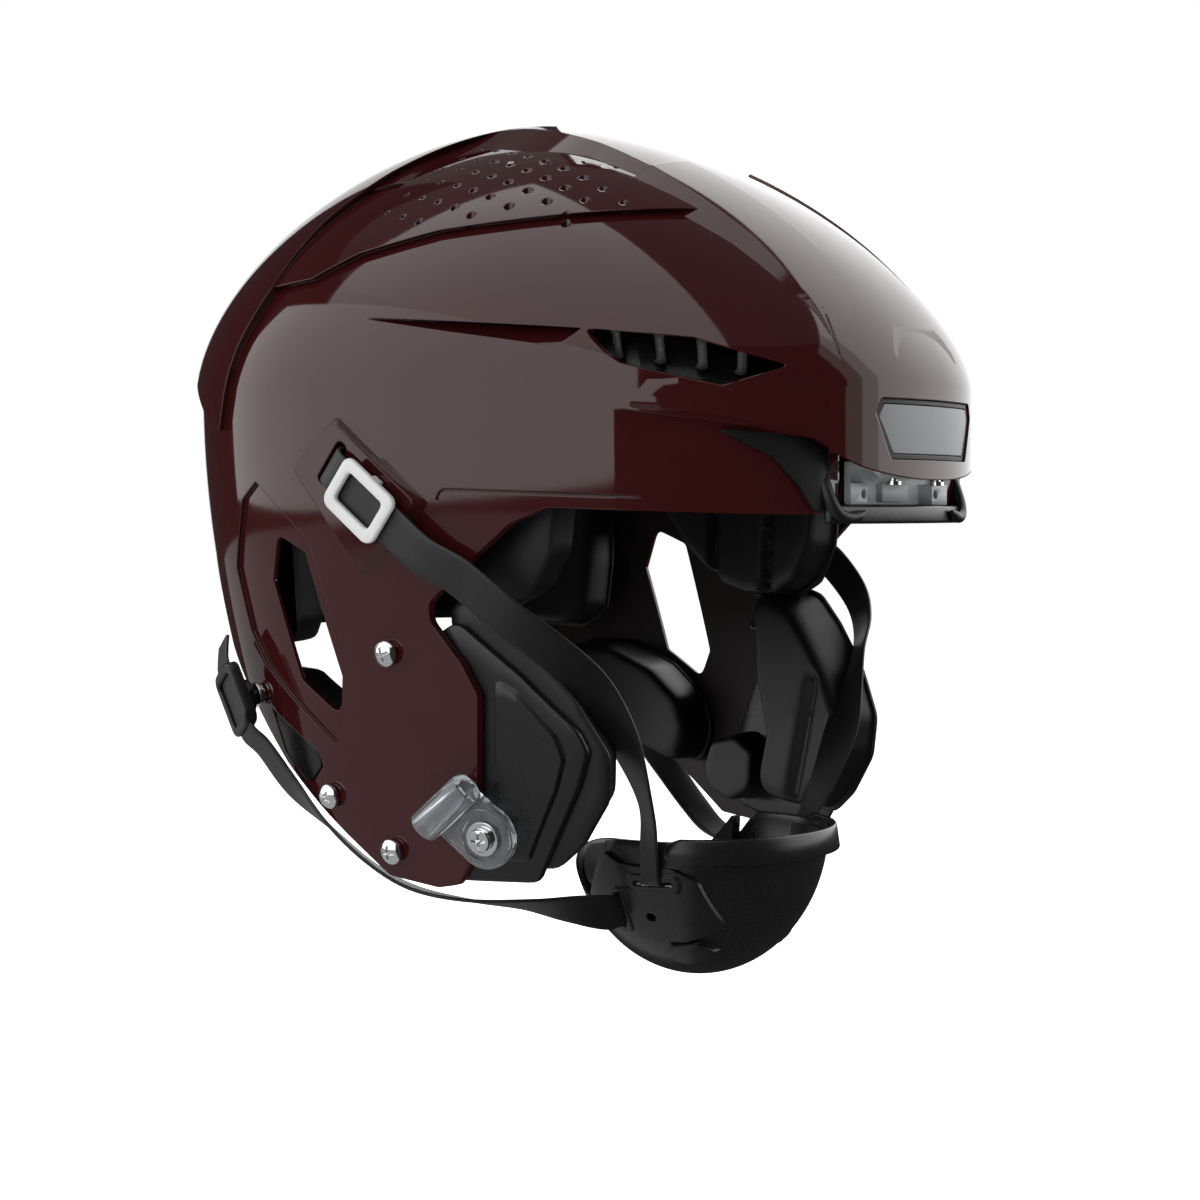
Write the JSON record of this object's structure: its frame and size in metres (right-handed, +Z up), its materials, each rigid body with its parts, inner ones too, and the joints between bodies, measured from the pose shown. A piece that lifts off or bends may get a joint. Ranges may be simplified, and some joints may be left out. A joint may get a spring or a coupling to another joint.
{
  "type": "football helmet",
  "caption": "Two-layer football helmet with a crown band, side vents, brow bracket, face guard clips, head liner pads, buttoned chin straps and a chin cup.",
  "frame": {"origin": "on the middle plane, halfway along the shell, level with the lower edge of the brow lip; the wearer's head is held there", "axes": "-Y is the front, +X is the wearer's left and +Z is up, as the helmet is worn"},
  "size_m": [0.2576, 0.2882, 0.308],
  "materials": {
    "shell": "high gloss lacquer",
    "inner_shell": "matt",
    "columns": "satin",
    "black_rubber": "satin",
    "grey_plate": "satin",
    "bracket_metal": "brushed",
    "screw_steel": "plain",
    "chrome": "polished",
    "pad": "soft vinyl skin",
    "black_plastic": "fine texture",
    "strap": "woven webbing",
    "white_plastic": "gloss",
    "clear_plastic": "clear",
    "cup_plastic": "satin",
    "eyelet": "blackened"
  },
  "bodies": {
    "helmet": {"outer_shell": "shell", "inner_shell": "inner_shell", "crown_columns": "columns", "vent_columns": "columns", "brow_seal_left": "black_rubber", "brow_seal_right": "black_rubber", "name_plate": "grey_plate", "front_bracket": "bracket_metal", "bracket_screws": "screw_steel", "front_bumper": "black_rubber", "bumper_loops": "black_rubber", "front_pad": "pad", "crown_pad": "pad", "rear_pad": "pad", "side_pad_left": "pad", "side_pad_right": "pad", "back_pad_left": "pad", "back_pad_right": "pad", "neck_pad_left": "pad", "neck_pad_right": "pad", "jaw_plate_left": "black_plastic", "jaw_plate_right": "black_plastic", "jaw_pad_left": "pad", "jaw_pad_right": "pad", "jaw_block_left": "pad", "jaw_block_right": "pad", "rear_trim_left": "black_plastic", "rear_trim_right": "black_plastic", "strap_studs": "chrome", "upper_strap_left": "strap", "upper_strap_right": "strap", "lower_strap_left": "strap", "lower_strap_right": "strap", "clip_screws": "screw_steel", "clip_washers": "screw_steel", "clip_nuts": "screw_steel", "liner_snaps": "chrome"},
    "chin_cup_set": {"chin_cup": "cup_plastic", "cup_liner": "pad", "cup_lip": "cup_plastic", "cup_eyelets": "eyelet"},
    "slide_buckle_left": {"upper_buckle_left": "white_plastic"},
    "slide_buckle_right": {"upper_buckle_right": "white_plastic"},
    "rear_snap_left": {"snap_cap_left": "chrome", "rear_buckle_left": "black_plastic"},
    "rear_snap_right": {"snap_cap_right": "chrome", "rear_buckle_right": "black_plastic"},
    "guard_clip_left": {"loop_clip_left": "clear_plastic"},
    "guard_clip_right": {"loop_clip_right": "clear_plastic"}
  },
  "joints": [
    {"name": "chin_cup_swing", "type": "hinge", "parent": "helmet", "child": "chin_cup_set", "pos_m": [0, 0.0125, 0.0075], "axis": [1, 0, 0], "range_deg": [-12, 8], "deforming": ["upper_strap_left", "upper_strap_right", "lower_strap_left", "lower_strap_right"]},
    {"name": "slide_buckle_left", "type": "slide", "parent": "helmet", "child": "slide_buckle_left", "axis": [-0.0567, -0.7842, -0.6179], "range_m": [-0.002, 0.006]},
    {"name": "rear_snap_left", "type": "slide", "parent": "helmet", "child": "rear_snap_left", "axis": [0.9038, 0.3918, -0.1718], "range_m": [0, 0.006]},
    {"name": "guard_clip_left", "type": "hinge", "parent": "helmet", "child": "guard_clip_left", "pos_m": [0.10323, -0.036, -0.114], "axis": [0.9712, -0.1804, -0.1555], "range_deg": [-20, 20]},
    {"name": "slide_buckle_right", "type": "slide", "parent": "helmet", "child": "slide_buckle_right", "axis": [0.0567, -0.7842, -0.6179], "range_m": [-0.002, 0.006]},
    {"name": "rear_snap_right", "type": "slide", "parent": "helmet", "child": "rear_snap_right", "axis": [-0.9038, 0.3918, -0.1718], "range_m": [0, 0.006]},
    {"name": "guard_clip_right", "type": "hinge", "parent": "helmet", "child": "guard_clip_right", "pos_m": [-0.10323, -0.036, -0.114], "axis": [-0.9712, -0.1804, -0.1555], "range_deg": [-20, 20]}
  ]
}
